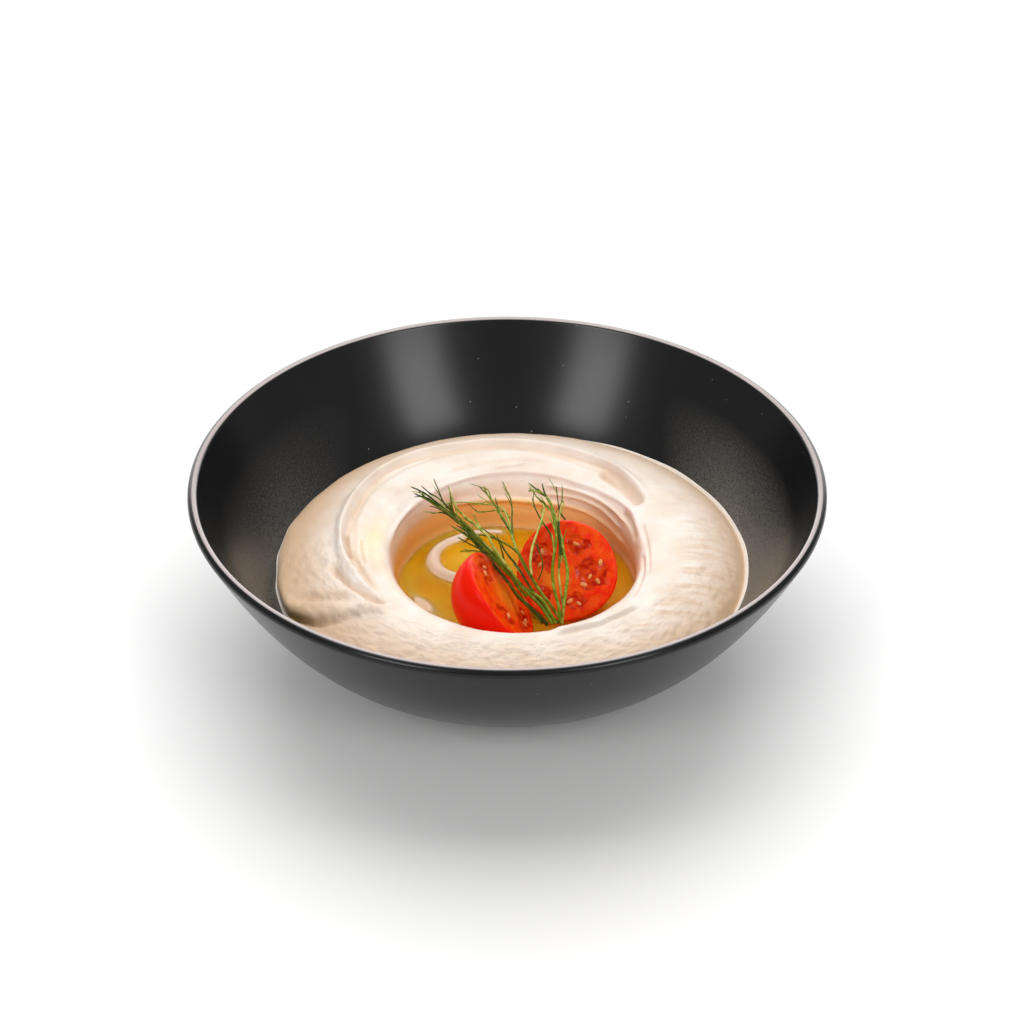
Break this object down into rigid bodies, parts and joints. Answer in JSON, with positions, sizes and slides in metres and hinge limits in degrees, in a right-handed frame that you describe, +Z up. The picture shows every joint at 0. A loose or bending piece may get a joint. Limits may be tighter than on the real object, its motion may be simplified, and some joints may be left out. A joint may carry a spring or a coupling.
{
  "type": "bowl of hummus",
  "caption": "Black stoneware coupe bowl of hummus, spooned into a ring round a well of olive oil with cherry tomato halves and dill.",
  "frame": {"origin": "centre of the bowl's foot, on the surface that it stands on", "axes": "+Z up, along the bowl's axis; -Y towards the front, where the stems of the dill start; +X to the right, towards the upright tomato half"},
  "size_m": [0.19, 0.19, 0.056],
  "materials": {
    "stoneware": "satin black glaze",
    "hummus": "smooth moist paste",
    "oil": "clear golden liquid",
    "tomato": "wet and glossy",
    "dill": "soft satin leaf"
  },
  "bodies": {
    "root": {"bowl": "stoneware", "hummus": "hummus", "oil_pool": "oil", "tomato_half_left": "tomato", "tomato_half_right": "tomato", "dill_sprig_left": "dill", "dill_sprig_middle": "dill", "dill_sprig_right": "dill"}
  },
  "joints": []
}
